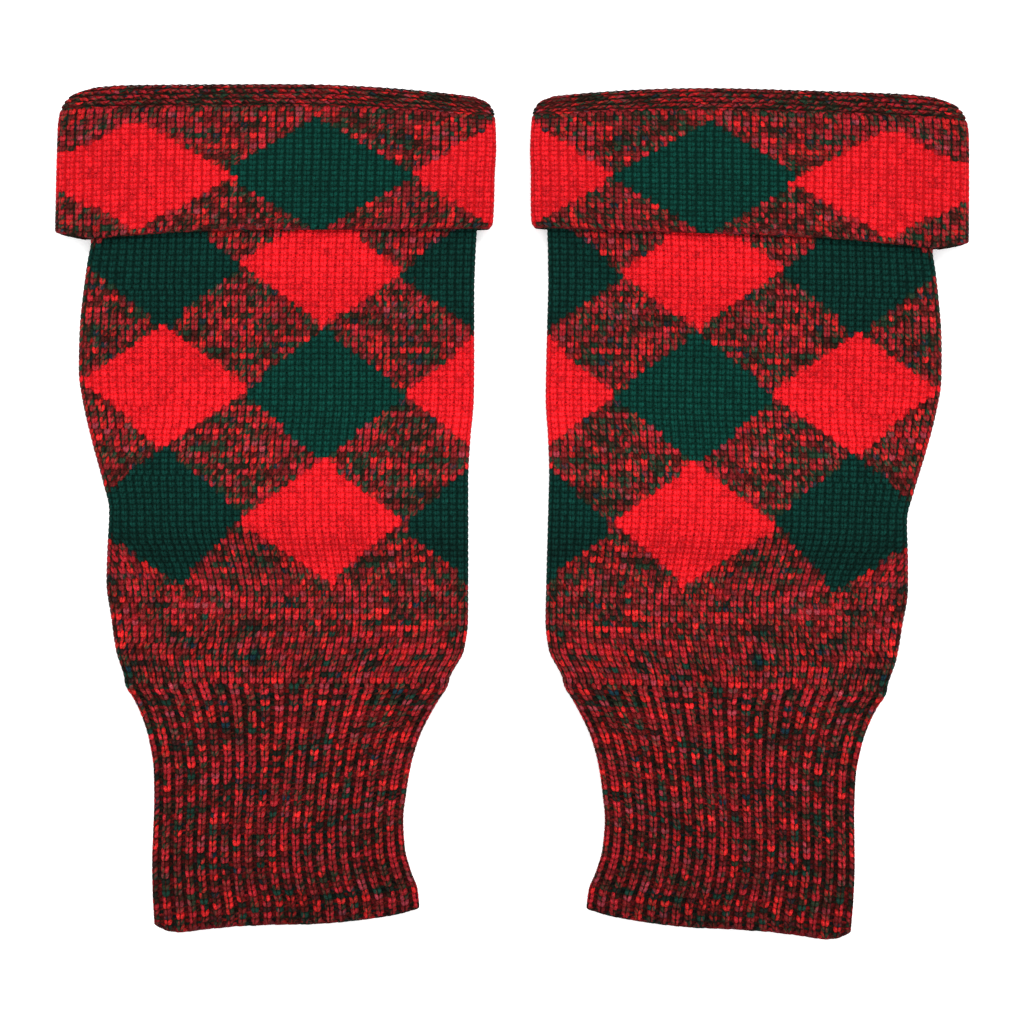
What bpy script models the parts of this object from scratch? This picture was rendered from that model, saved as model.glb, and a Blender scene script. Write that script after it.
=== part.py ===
"""A pair of footless diced kilt hose tops, laid flat side by side as mirror images of each other.

Each hose top is a knitted tube of three stretches, and each stretch is one closed wall with a plain inside:
the cuff, which is turned down over the leg, the leg with its calf shaping, and the ribbed ankle. The tube lies
flat, so a section across it is a flattened ring: a straight back on the surface, a slightly crowned front, and
a round fold at each side. Sizes are in millimetres, and a place on a hose top is given by its distance down
from the top fold and its distance out from the line midway between the two hose tops.
"""

import collections
import math

import bmesh
import bpy

MM = 0.001

# Cloth
WALL = 2.0
SEAM_GAP = 0.3

# The fold at the top of the cuff, where the cloth turns over on itself
FOLD_SPACE = 1.6
FOLD_RADIUS = WALL + FOLD_SPACE / 2
FOLD_STEPS = 6

# Where the cuff's turned-in cloth ends inside and the leg starts, and how far that cloth lies inside the cuff
CUFF_SEAM_DOWN = 8.0
CUFF_SEAM_INSET = 3.2

# Where the leg ends and the ribbing starts
RIBBING_DOWN = 258.5

# The right hose top is the left one's mirror image, turned a little about a point near its own top
RIGHT_TURN = math.radians(-1.55)
RIGHT_PIVOT_OUT = 27.0
RIGHT_PIVOT_DOWN = 48.1

# The front's rise between its two folds
FRONT_CROWN = 0.6

# Edges sharper than this, such as a wall's rims, are shaded sharp
SHARP_ANGLE = math.radians(50)

# Points of a ring along its front, round each side fold, and along its back
OUTER_POINTS = (24, 6, 10)
INNER_POINTS = (14, 4, 8)

# Ribs of the ankle on the front, and the outline of one: share of the rib's width, share of its height
RIB_COUNT = 22
RIB_HEIGHT = 0.9
RIB_OUTLINE = ((0.0, 0.0), (0.28, 1.0), (0.72, 1.0))

# How much of the width a raised corner takes
CORNER_SHARE = 0.12

# A section across the tube. outer and inner are the two side edges, measured out from the pair's middle line.
# floor is the height of the underside and height is the whole thickness. outer_drop and inner_drop are how much
# lower the row lies at an edge than at its middle, and outer_lift and inner_lift raise the corner itself.
Section = collections.namedtuple(
    "Section",
    "down outer inner floor height outer_drop inner_drop outer_lift inner_lift",
    defaults=(0.0, 0.0, 0.0, 0.0),
)

CUFF_SECTIONS = (
    Section(0.0, 184.0, 13.2, 0.0, 12.2, 0.6, 5.8, -1.3),
    Section(2.8, 190.7, 9.7, 0.0, 12.2, 0.9, 5.6, -1.2),
    Section(8.0, 194.9, 7.4, 0.0, 12.2, 1.2, 4.8, -0.7),
    Section(16.0, 196.5, 6.9, 0.0, 11.9, 1.5, 3.2),
    Section(26.0, 196.9, 6.7, 0.0, 11.4, 1.2, 1.6),
    Section(38.0, 197.3, 7.3, 0.0, 10.9, 1.8, 0.4),
    Section(50.0, 197.6, 7.6, 0.0, 10.5, 3.2),
    Section(62.6, 197.8, 8.4, 0.0, 10.2, 6.0, -0.6, 5.4),
)

LEG_SECTIONS = (
    Section(26.0, 192.2, 11.0, 2.8, 5.8, 1.2, 1.6),
    Section(50.0, 186.0, 13.8, 2.5, 5.5, 0.6, 0.2),
    Section(67.1, 182.4, 15.3, 2.3, 5.4),
    Section(76.6, 184.1, 15.8, 1.2, 5.5),
    Section(88.7, 185.9, 16.2, 0.0, 5.6),
    Section(106.0, 187.6, 16.2, 0.0, 5.6),
    Section(123.3, 188.0, 16.2, 0.0, 5.6),
    Section(136.2, 186.3, 16.4, 0.0, 5.6),
    Section(153.5, 182.4, 17.9, 0.0, 5.6),
    Section(170.8, 177.7, 18.8, 0.0, 5.6),
    Section(184.0, 174.8, 18.8, 0.0, 5.6),
    Section(200.0, 175.6, 18.8, 0.0, 5.6),
    Section(214.0, 176.0, 18.8, 0.0, 5.6),
    Section(231.2, 173.8, 18.9, 0.0, 5.6),
    Section(244.2, 171.9, 20.6, 0.0, 5.6),
    Section(258.5, 168.1, 27.2, 0.0, 5.6),
)

RIBBING_SECTIONS = (
    Section(258.5, 168.1, 27.2, 0.0, 5.6),
    Section(265.8, 163.9, 31.3, 0.0, 5.7, 0.0, -0.2),
    Section(274.4, 160.0, 36.1, 0.0, 5.8, 0.2, -0.5),
    Section(283.0, 157.4, 40.0, 0.0, 5.8, 0.4, -0.9),
    Section(296.0, 155.4, 43.6, 0.0, 5.8, 0.9, -1.7),
    Section(309.0, 155.2, 45.6, 0.0, 5.8, 1.3, -3.0),
    Section(321.9, 155.7, 46.9, 0.0, 5.8, 1.7, -4.3),
    Section(334.9, 156.1, 46.2, 0.0, 5.8, 2.6, -5.3),
    Section(345.7, 155.9, 43.6, 0.0, 5.8, 3.5, -6.0),
    Section(354.3, 155.4, 40.6, 0.0, 5.8, 4.5, -6.3),
    Section(362.3, 155.2, 40.0, 0.0, 5.8, 5.6, -6.3, 5.8, 0.9),
)

# Soft creases in the leg's front: the middle of each, its length and width, its slope down towards the pair's
# middle line in degrees, and its depth. The fade is how fast a crease rises again at its edges.
CREASE_FADE = 1.5
Crease = collections.namedtuple("Crease", "down out length width slope depth")

CREASES = (
    Crease(183.0, 160.0, 34.0, 12.0, 24.0, 0.8),
    Crease(158.0, 172.0, 26.0, 10.0, 12.0, 0.6),
    Crease(199.0, 143.0, 30.0, 11.0, 10.0, 0.5),
    Crease(84.0, 170.0, 30.0, 12.0, -12.0, 0.5),
    Crease(240.0, 60.0, 40.0, 14.0, -30.0, 0.4),
)

# Colour and roughness of each stretch's knit
CUFF_COLOUR = (0.20, 0.025, 0.02, 1.0)
LEG_COLOUR = (0.15, 0.022, 0.018, 1.0)
RIBBING_COLOUR = (0.10, 0.014, 0.012, 1.0)
KNIT_ROUGHNESS = 0.9


def clear_scene():
    for item in list(bpy.data.objects):
        bpy.data.objects.remove(item, do_unlink=True)


def slope_at(x, y, i):
    """The slope of a smooth curve through a table's point i that never overshoots the table."""
    if i == 0 or i == len(x) - 1:
        return 0.0
    before = (y[i] - y[i - 1]) / (x[i] - x[i - 1])
    after = (y[i + 1] - y[i]) / (x[i + 1] - x[i])
    if before * after <= 0:
        return 0.0
    return 2 * before * after / (before + after)


def smooth_value(x, y, at):
    """The value at one place of the smooth curve through the points (x, y)."""
    i = max(k for k in range(len(x) - 1) if k == 0 or x[k] <= at)
    span = x[i + 1] - x[i]
    t = min(max((at - x[i]) / span, 0.0), 1.0)
    ends = (1 + 2 * t) * (1 - t) ** 2 * y[i] + t * t * (3 - 2 * t) * y[i + 1]
    slopes = t * (1 - t) ** 2 * slope_at(x, y, i) - t * t * (1 - t) * slope_at(x, y, i + 1)
    return ends + slopes * span


def section_at(sections, down):
    """The section at one distance down, read smoothly from a table of sections."""
    places = [s.down for s in sections]
    values = [smooth_value(places, column, down) for column in zip(*sections)]
    return Section(*values)._replace(down=down)


def section_inside(section, inset):
    """The section of a tube that lies inside another one, as far in on every side."""
    return section._replace(
        outer=section.outer - inset,
        inner=section.inner + inset,
        floor=section.floor + inset,
        height=section.height - 2 * inset,
    )


def row_drop(section, across):
    """How far below the section's own distance down a row lies, at a share of the width from its outer edge."""
    side = 1 - 2 * across
    edge_drop = section.outer_drop if side > 0 else section.inner_drop
    drop = edge_drop * side * side
    outer_corner = max(0.0, 1 - across / CORNER_SHARE)
    inner_corner = max(0.0, 1 - (1 - across) / CORNER_SHARE)
    return drop - section.outer_lift * outer_corner**2 - section.inner_lift * inner_corner**2


def crease_depth(down, out):
    """How deep the creases are at one place of the front."""
    depth = 0.0
    for crease in CREASES:
        turn = math.radians(crease.slope)
        along = (crease.out - out) * math.cos(turn) + (down - crease.down) * math.sin(turn)
        aside = (down - crease.down) * math.cos(turn) - (crease.out - out) * math.sin(turn)
        reach = (2 * along / crease.length) ** 2 + (2 * aside / crease.width) ** 2
        depth += crease.depth * math.exp(-CREASE_FADE * reach)
    return depth


def place(section, turn, out, height):
    """A point of a section: its turn round the ring, then the hose top's own distances and its height."""
    across = (section.outer - out) / (section.outer - section.inner)
    down = section.down + row_drop(section, min(max(across, 0.0), 1.0))
    return turn, out, down, height


def front_points(section, inset, shares, creased):
    """Points along the front, turns 0 to 1, for (share of the way from the outer fold, raised by) pairs."""
    radius = section.height / 2
    outer = section.outer - radius
    inner = section.inner + radius
    points = []
    for share, raised in shares:
        out = outer + (inner - outer) * share
        turn, out, down, height = place(section, share, out, section.floor + section.height - inset)
        crown = FRONT_CROWN * math.sin(math.pi * share)
        sunk = crease_depth(down, out) if creased else 0.0
        points.append((turn, out, down, height + crown + raised - sunk))
    return points


def inner_fold_points(section, inset, steps):
    """Points round the inner side fold, turns 1 to 2, without its two ends."""
    middle_height = section.floor + section.height / 2
    radius = section.height / 2 - inset
    points = []
    for step in range(1, steps):
        angle = math.pi * step / steps
        out = section.inner + section.height / 2 - radius * math.sin(angle)
        points.append(place(section, 1 + step / steps, out, middle_height + radius * math.cos(angle)))
    return points


def back_points(section, inset, steps):
    """Points along the back, turns 2 to 3, from the inner fold to the outer one."""
    radius = section.height / 2
    outer = section.outer - radius
    inner = section.inner + radius
    points = []
    for step in range(steps + 1):
        share = step / steps
        points.append(place(section, 2 + share, inner + (outer - inner) * share, section.floor + inset))
    return points


def outer_fold_points(section, inset, steps):
    """Points round the outer side fold, turns 3 to 4, without its two ends."""
    middle_height = section.floor + section.height / 2
    radius = section.height / 2 - inset
    points = []
    for step in range(1, steps):
        angle = math.pi * step / steps
        out = section.outer - section.height / 2 + radius * math.sin(angle)
        points.append(place(section, 3 + step / steps, out, middle_height - radius * math.cos(angle)))
    return points


def ring(section, inset, counts, creased=False, front=None):
    """One closed ring round the tube, as far inside its outside as the inset says."""
    across, around, under = counts
    front = front or [(step / across, 0.0) for step in range(across + 1)]
    return (
        front_points(section, inset, front, creased)
        + inner_fold_points(section, inset, around)
        + back_points(section, inset, under)
        + outer_fold_points(section, inset, around)
    )


def rib_front():
    """The front's places and heights across the ribs of the ankle."""
    shares = [
        ((rib + share) / RIB_COUNT, RIB_HEIGHT * raised)
        for rib in range(RIB_COUNT)
        for share, raised in RIB_OUTLINE
    ]
    return shares + [(1.0, 0.0)]


def join_rings(mesh, first, second):
    """Triangles between two rings of (turn, vertex) pairs, which may have different numbers of points."""
    first = first + [(4.0, first[0][1])]
    second = second + [(4.0, second[0][1])]
    i = 0
    j = 0
    while i < len(first) - 1 or j < len(second) - 1:
        first_next = first[i + 1][0] if i < len(first) - 1 else math.inf
        second_next = second[j + 1][0] if j < len(second) - 1 else math.inf
        a = first[i][1]
        b = second[j][1]
        if first_next <= second_next:
            i += 1
            mesh.faces.new((a, b, first[i][1]))
        else:
            j += 1
            mesh.faces.new((a, b, second[j][1]))


def left_place(out, down):
    """Where a place on the left hose top lies, with the pair's middle line and the top fold at zero."""
    return -out, -down


def right_place(out, down):
    """Where the same place lies on the right hose top, mirrored and turned about its pivot."""
    x = out - RIGHT_PIVOT_OUT
    y = RIGHT_PIVOT_DOWN - down
    turned_x = x * math.cos(RIGHT_TURN) - y * math.sin(RIGHT_TURN)
    turned_y = x * math.sin(RIGHT_TURN) + y * math.cos(RIGHT_TURN)
    return turned_x + RIGHT_PIVOT_OUT, turned_y - RIGHT_PIVOT_DOWN


def placed_rings(rings, side_place):
    """Rings of (turn, x, y, height) points of one hose top."""
    return [
        [(turn,) + side_place(out, down) + (height,) for turn, out, down, height in points]
        for points in rings
    ]


def middle(values):
    return (min(values) + max(values)) / 2


def wall_object(name, rings, centre, colour):
    """One closed wall from rings that run along its outside, round its end, along its inside and back."""
    mesh = bmesh.new()
    loops = []
    for points in rings:
        loops.append([
            (turn, mesh.verts.new(((x - centre[0]) * MM, (y - centre[1]) * MM, z * MM)))
            for turn, x, y, z in points
        ])
    for first, second in zip(loops, loops[1:] + loops[:1]):
        join_rings(mesh, first, second)
    bmesh.ops.recalc_face_normals(mesh, faces=mesh.faces)
    data = bpy.data.meshes.new(name)
    mesh.to_mesh(data)
    mesh.free()
    data.shade_smooth()
    data.set_sharp_from_angle(angle=SHARP_ANGLE)
    data.materials.append(knit_material(name + "_knit", colour))
    item = bpy.data.objects.new(name, data)
    bpy.context.collection.objects.link(item)
    return item


def knit_material(name, colour):
    material = bpy.data.materials.new(name)
    material.use_nodes = True
    shader = material.node_tree.nodes["Principled BSDF"]
    shader.inputs["Base Color"].default_value = colour
    shader.inputs["Roughness"].default_value = KNIT_ROUGHNESS
    shader.inputs["Metallic"].default_value = 0.0
    return material


def cuff_rings():
    """The cuff's hem, outside, top fold and turned-in cloth, and back along its inside to the hem."""
    turned_in = CUFF_SEAM_DOWN - SEAM_GAP
    fold_inset = 2 * FOLD_RADIUS - WALL
    outside = [s.down for s in reversed(CUFF_SECTIONS) if s.down > FOLD_RADIUS]
    inside = [s.down for s in CUFF_SECTIONS if s.down > FOLD_RADIUS]
    rings = [ring(section_at(CUFF_SECTIONS, down), 0.0, OUTER_POINTS) for down in outside]
    for step in range(FOLD_STEPS + 1):
        turn = math.pi * step / FOLD_STEPS
        section = section_at(CUFF_SECTIONS, FOLD_RADIUS * (1 - math.sin(turn)))
        rings.append(ring(section, FOLD_RADIUS * (1 - math.cos(turn)), OUTER_POINTS))
    seam = section_at(CUFF_SECTIONS, turned_in)
    rings.append(ring(seam, CUFF_SEAM_INSET + WALL, OUTER_POINTS))
    rings.append(ring(seam, CUFF_SEAM_INSET, OUTER_POINTS))
    fold = section_at(CUFF_SECTIONS, FOLD_RADIUS)
    rings.append(ring(fold, fold_inset, OUTER_POINTS))
    crest = section_at(CUFF_SECTIONS, FOLD_RADIUS - FOLD_SPACE / 2)
    rings.append(ring(crest, FOLD_RADIUS, INNER_POINTS))
    rings.append(ring(fold, WALL, INNER_POINTS))
    rings += [ring(section_at(CUFF_SECTIONS, down), WALL, INNER_POINTS) for down in inside]
    return rings


def leg_rings():
    """The leg's outside from its top to the ribbing, and back along its inside."""
    top = section_inside(section_at(CUFF_SECTIONS, CUFF_SEAM_DOWN), CUFF_SEAM_INSET)
    end = section_at(LEG_SECTIONS, RIBBING_DOWN - SEAM_GAP)
    sections = (top,) + LEG_SECTIONS[:-1] + (end,)
    inside = sections[::-2] if len(sections) % 2 else sections[::-2] + sections[:1]
    outer = [ring(section, 0.0, OUTER_POINTS, creased=True) for section in sections]
    inner = [ring(section, WALL, INNER_POINTS, creased=True) for section in inside]
    return outer + inner


def ribbing_rings():
    """The ribbed ankle's outside from the leg to the hem, and back along its plain inside."""
    outer = [ring(section, 0.0, OUTER_POINTS, front=rib_front()) for section in RIBBING_SECTIONS]
    inner = [ring(section, WALL, INNER_POINTS) for section in RIBBING_SECTIONS[::-2]]
    return outer + inner


def main():
    clear_scene()
    stretches = (
        ("cuff", cuff_rings(), CUFF_COLOUR),
        ("leg", leg_rings(), LEG_COLOUR),
        ("ribbing", ribbing_rings(), RIBBING_COLOUR),
    )
    walls = [
        (side + "_" + stretch, placed_rings(rings, side_place), colour)
        for side, side_place in (("left", left_place), ("right", right_place))
        for stretch, rings, colour in stretches
    ]
    points = [point for _, rings, _ in walls for ring_points in rings for point in ring_points]
    centre = [middle([x for _, x, _, _ in points]), middle([y for _, _, y, _ in points])]
    for name, rings, colour in walls:
        wall_object(name, rings, centre, colour)


main()
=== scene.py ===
"""The looks of a pair of footless diced kilt hose tops, laid flat side by side.

Each stretch of a hose top (cuff, leg and ribbing) is a thin shell of ground cloth on the form of its
solid. The knitting on it is modelled stitch by stitch, as arched legs of yarn on that shell. Sizes are in
millimetres. A place on the cloth has three numbers: around, along and raised. Around is the share of the
half tube: 0 on the inner side's edge, 1 on the outer side's edge by way of the front, and -1 there by way
of the back. Along is the distance along the wales, and raised is the height above the solid's outside.
"""

import collections
import math

import bpy
import numpy as np
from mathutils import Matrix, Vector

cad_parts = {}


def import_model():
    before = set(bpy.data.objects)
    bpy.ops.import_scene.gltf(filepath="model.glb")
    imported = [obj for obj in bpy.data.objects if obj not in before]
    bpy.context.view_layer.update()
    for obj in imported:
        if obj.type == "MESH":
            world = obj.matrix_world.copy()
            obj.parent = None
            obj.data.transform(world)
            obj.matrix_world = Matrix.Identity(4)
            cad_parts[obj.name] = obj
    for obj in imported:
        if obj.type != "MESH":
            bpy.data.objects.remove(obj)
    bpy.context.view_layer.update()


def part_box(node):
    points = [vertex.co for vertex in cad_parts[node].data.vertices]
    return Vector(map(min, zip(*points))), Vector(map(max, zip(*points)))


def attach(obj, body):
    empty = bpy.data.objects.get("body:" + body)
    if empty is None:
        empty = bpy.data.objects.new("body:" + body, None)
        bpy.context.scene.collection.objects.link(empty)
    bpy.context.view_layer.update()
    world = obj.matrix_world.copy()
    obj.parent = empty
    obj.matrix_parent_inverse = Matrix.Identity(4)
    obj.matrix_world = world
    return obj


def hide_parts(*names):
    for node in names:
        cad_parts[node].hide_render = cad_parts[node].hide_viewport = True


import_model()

MM = 0.001

# The cloth's form, as in the part's source. Only the cuff's lower inner corner is rounder here
WALL = 2.0
SEAM_GAP = 0.3
FOLD_SPACE = 1.6
FOLD_RADIUS = WALL + FOLD_SPACE / 2
CUFF_SEAM_DOWN = 8.0
RIBBING_DOWN = 258.5
RIGHT_TURN = math.radians(-1.55)
RIGHT_PIVOT_OUT = 27.0
RIGHT_PIVOT_DOWN = 48.1
FRONT_CROWN = 0.6
RIB_COUNT = 22
RIB_HEIGHT = 0.9
RIB_SHARPNESS = 1.2
RIB_BEGIN = 6.0
CORNER_SHARE = 0.12

Section = collections.namedtuple(
    "Section",
    "down outer inner floor height outer_drop inner_drop outer_lift inner_lift",
    defaults=(0.0, 0.0, 0.0, 0.0),
)

CUFF_SECTIONS = (
    Section(0.0, 184.0, 13.2, 0.0, 12.2, 0.6, 5.8, -1.3),
    Section(2.8, 190.7, 9.7, 0.0, 12.2, 0.9, 5.6, -1.2),
    Section(8.0, 194.9, 7.4, 0.0, 12.2, 1.2, 4.8, -0.7),
    Section(16.0, 196.5, 6.9, 0.0, 11.9, 1.5, 3.2),
    Section(26.0, 196.9, 6.7, 0.0, 11.4, 1.2, 1.6),
    Section(38.0, 197.3, 7.3, 0.0, 10.9, 1.8, 0.4),
    Section(50.0, 197.6, 7.6, 0.0, 10.5, 3.2),
    Section(58.6, 197.8, 8.0, 0.0, 10.2, 5.2, -0.3, 3.2),
    Section(61.2, 197.8, 8.4, 0.0, 10.2, 5.8, -0.5, 4.8),
    Section(62.6, 197.8, 9.4, 0.0, 10.2, 6.0, -0.6, 5.4),
)

LEG_SECTIONS = (
    Section(8.0, 191.7, 10.6, 3.2, 5.8, 1.2, 4.8, -0.7),
    Section(26.0, 192.2, 11.0, 2.8, 5.8, 1.2, 1.6),
    Section(50.0, 186.0, 13.8, 2.5, 5.5, 0.6, 0.2),
    Section(67.1, 182.4, 15.3, 2.3, 5.4),
    Section(76.6, 184.1, 15.8, 1.2, 5.5),
    Section(88.7, 185.9, 16.2, 0.0, 5.6),
    Section(106.0, 187.6, 16.2, 0.0, 5.6),
    Section(123.3, 188.0, 16.2, 0.0, 5.6),
    Section(136.2, 186.3, 16.4, 0.0, 5.6),
    Section(153.5, 182.4, 17.9, 0.0, 5.6),
    Section(170.8, 177.7, 18.8, 0.0, 5.6),
    Section(184.0, 174.8, 18.8, 0.0, 5.6),
    Section(200.0, 175.6, 18.8, 0.0, 5.6),
    Section(214.0, 176.0, 18.8, 0.0, 5.6),
    Section(231.2, 173.8, 18.9, 0.0, 5.6),
    Section(244.2, 171.9, 20.6, 0.0, 5.6),
    Section(258.5, 168.1, 27.2, 0.0, 5.6),
)

RIBBING_SECTIONS = (
    Section(258.5, 168.1, 27.2, 0.0, 5.6),
    Section(265.8, 163.9, 31.3, 0.0, 5.7, 0.0, -0.2),
    Section(274.4, 160.0, 36.1, 0.0, 5.8, 0.2, -0.5),
    Section(283.0, 157.4, 40.0, 0.0, 5.8, 0.4, -0.9),
    Section(296.0, 155.4, 43.6, 0.0, 5.8, 0.9, -1.7),
    Section(309.0, 155.2, 45.6, 0.0, 5.8, 1.3, -3.0),
    Section(321.9, 155.7, 46.9, 0.0, 5.8, 1.7, -4.3),
    Section(334.9, 156.1, 46.2, 0.0, 5.8, 2.6, -5.3),
    Section(345.7, 155.9, 43.6, 0.0, 5.8, 3.5, -6.0),
    Section(354.3, 155.4, 40.6, 0.0, 5.8, 4.5, -6.3),
    Section(362.3, 155.2, 40.0, 0.0, 5.8, 5.6, -6.3, 5.8, 0.9),
)

# Soft creases of the leg's front: the middle, size and slope of each, and its depth
CREASE_FADE = 1.5
Crease = collections.namedtuple("Crease", "down out length width slope depth")

CREASES = (
    Crease(183.0, 160.0, 34.0, 12.0, 24.0, 0.8),
    Crease(158.0, 172.0, 26.0, 10.0, 12.0, 0.6),
    Crease(199.0, 143.0, 30.0, 11.0, 10.0, 0.5),
    Crease(84.0, 170.0, 30.0, 12.0, -12.0, 0.5),
    Crease(240.0, 60.0, 40.0, 14.0, -30.0, 0.4),
)

# Knitting: wales across half of the tube, and the height of a row
CUFF_WALES = 50
CUFF_ROW = 2.29
LEG_ROW = 2.502
RIBBING_ROW = 2.41

# Where stitches are made: on the leg from under the cuff to a share of a row above the ribbing, and on the
# cuff from its hem over the fold, the purl band included, to a little way inside. A hem's rim lies a share
# of a row above it. Past the fold a place lies further along than down, by the fold's lead
LEG_TOP = 52.0
LEG_LAST_ROW = 0.45
CUFF_HEM = 62.6
RIBBING_HEM = 362.3
FOLD_LEAD = FOLD_RADIUS * (math.pi / 2 - 1)
PURL_BAND = 12.4
CUFF_TURNED_IN = -4.6
RIM_ROWS_UP = 0.3

# The leg's wale width at distances down. Its last wales are gathered into the ribbing
LEG_WALE = ((26.0, 3.455), (186.0, 3.455), (222.0, 3.25), (244.0, 3.25), (RIBBING_DOWN, 3.04))
SEAM_SPREAD = 8

# Relief: each wale's bulge, how deep the ribs' valleys sink in front, and how flat the ribs are behind
WALE_RIDGE = 0.15
RIB_VALLEY = 0.4
BACK_RIB = 0.55

# The shell of ground cloth, and the legs of yarn that stand on it
GROUND = -0.68
YARN_FOOT = -0.62
YARN_CREST = 0.1

# The shells' meshes: rings along each one's outside and inside, and columns round it
CUFF_RINGS = (34, 14)
CUFF_COLUMNS = 200
LEG_RINGS = 101
LEG_COLUMNS = 160
RIBBING_RINGS = 44
RIB_COLUMNS = 12
INNER_STEP = 4

# A knit stitch's two legs, in shares of its width and row, and a leg's own unevenness
YARN_START = 0.62
YARN_END = -0.78
YARN_BOW = 0.03
WIDTH_UNEVEN = (0.93, 1.07)
CREST_UNEVEN = (0.9, 1.0)
PLACE_UNEVEN = 0.03
PURL_UNEVEN = 0.09
TIP_HEIGHT = 0.1
# Painted light at a leg's tip, and painted shade on its outer edge, where it dips between the wales
TIP_PAINTED_LIT = 0.1
EDGE_PAINTED_SHADE = 0.3

# Maps: the length of yarn that a leg is cut from, the ground's map, and a leg's cell when colours are baked
YARN_LENGTH = 50
GROUND_MAP = (200, 300)
CELL_HALF_WIDTH = 0.36
CELL_FOOT = 0.12
CELL_LENGTH = 0.76
BAKED_SHARE = 0.98
BAKED_EDGE = 0.01

# Seeds of the random draws
CUFF_GROUND_SEED = 11
LEG_GROUND_SEED = 12
RIBBING_GROUND_SEED = 13
CUFF_SEED = 21
LEG_SEED = 31
RIBBING_SEED = 41

SIDES = ("left", "right")


def linear(red, green, blue):
    """A colour given as it shows on a screen, 0 to 255, in the renderer's linear values."""
    return tuple(
        value / 12.92 if value <= 0.04045 else ((value + 0.055) / 1.055) ** 2.4
        for value in (red / 255, green / 255, blue / 255)
    )


RED = linear(216, 33, 42)
GREEN = linear(8, 61, 52)
DEEP_GREEN = linear(8, 52, 45)
MARL_REDS = (linear(176, 38, 48), linear(204, 40, 42), linear(156, 56, 68), linear(128, 34, 38))
MARL_RED_SHARES = (0.46, 0.2, 0.06, 0.28)
MARL_DARKS = (linear(36, 57, 42), linear(42, 36, 26), linear(30, 46, 50), linear(72, 28, 24))
MARL_DARK_SHARES = (0.46, 0.25, 0.07, 0.22)

# How light the red and the dark ply of a stitch may be, from least to most
RED_UNEVEN = (0.82, 1.12)
DARK_UNEVEN = (0.8, 1.2)

# Below the diamonds the marl's dark ply is browner and shows a little less, apart from some green clumps
PATTERN_END = 214.0
LOWER_TINT = (1.2, 0.75, 0.72)
LOWER_LIGHTER = 0.08
CLUMP_BELOW = -0.7
CLUMP_TINT = (0.5, 0.95, 1.15)
CLUMP_DARKER = 0.2

# How the marl's colour runs on along a row: the share that a patch, a stitch and a leg of yarn decide
PATCH_SHARE = 0.56
PATCH_WALES = 2.0
PATCH_ROWS = 0.9
STITCH_SHARE = 0.1
LEG_SHARE = 0.42
STITCH_SHADE = 0.06
LEG_SHADE = 0.09

# The grid of random values that patches are read from, its start, and their strength. The cuff's rows are
# counted from inside the fold, and the ribs have narrower patches
PATCH_GRID = (128, 512)
PATCH_START = 3
PATCH_STRENGTH = 1.6
CUFF_FIRST_ROW = 9
RIB_PATCHES = 1.4

# Uneven tone over some stitches: its size, how far it goes in the light, and in which ply shows
BLOTCH_WALES = 5.0
BLOTCH_ROWS = 6.0
BLOTCH_SHADE = 0.06
BLOTCH_BALANCE = 0.16

# Painted shade on the ground cloth, which shows in the spaces between the yarns: more of the dark ply shows,
# and its painted light is as low as there
GROUND_PAINTED_SHADE = 0.7
GROUND_PAINTED_LIT = 0.2

# How light the ribs are, and the painted shade in the valleys between them and on the hems' rims
RIB_SHADE = 1.04
VALLEY_PAINTED_SHADE = 0.22
RIM_PAINTED_SHADE = 0.4

# Diced pattern: a diamond's middle in wales from the inner edge and in millimetres down, its half sizes,
# how far down it leans with each wale, and its colour
Diamond = collections.namedtuple("Diamond", "wale down half_wales half_down lean colour")
DIAMOND_BULGE = 1.03
BLUNT_TIP = 0.67

CUFF_DIAMONDS = (
    Diamond(0.0, 37.7, 9.6, 26.0, 0.2, RED),
    Diamond(20.3, 39.4, 10.3, 24.0, 0.0, GREEN),
    Diamond(40.3, 38.4, 10.9, 22.5, -0.15, RED),
)

LEG_DIAMONDS = (
    Diamond(-0.65, 79.5, 10.2, 28.0, 0.2, DEEP_GREEN),
    Diamond(19.65, 79.0, 10.1, 24.6, -0.2, RED),
    Diamond(39.6, 76.9, 9.8, 27.4, -0.25, DEEP_GREEN),
    Diamond(-0.65, 131.9, 9.8, 25.4, 0.23, RED),
    Diamond(19.2, 133.7, 10.0, 27.7, -0.1, GREEN),
    Diamond(39.1, 130.0, 10.4, 25.8, -0.2, RED),
    Diamond(-0.65, 190.2, 9.2, 27.8, 0.1, DEEP_GREEN),
    Diamond(18.95, 188.5, 10.1, 26.8, 0.0, RED),
    Diamond(38.7, 186.0, 9.9, 29.2, 0.0, DEEP_GREEN),
)

# Painted light and shade at distances along. The purl band's crest has painted shade, and so has the ankle's
# hem
CUFF_PAINTED_LIGHT = (
    (-5.0, 0.75), (-2.0, 0.4), (1.3, 0.32), (2.8, 0.72), (11.5, 0.78), (14.0, 0.98), (62.0, 0.98),
)
# The leg's lighter and darker bands are painted light and shade as well
LEG_PAINTED_LIGHT = (
    (66.0, 1.02), (78.0, 1.05), (100.0, 1.0), (150.0, 1.06), (178.0, 1.08), (190.0, 1.0), (201.0, 0.84),
    (212.0, 1.0), (222.0, 1.08), (236.0, 1.0), (250.0, 0.92), (264.0, 1.0), (310.0, 0.93), (336.0, 0.84),
    (358.0, 0.8),
)

# Painted shade: the two sides, where the tube folds, are darker over a narrow width
SIDE_PAINTED_SHADE = 0.5
SIDE_SHADE_WIDTH = 1.7
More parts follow.
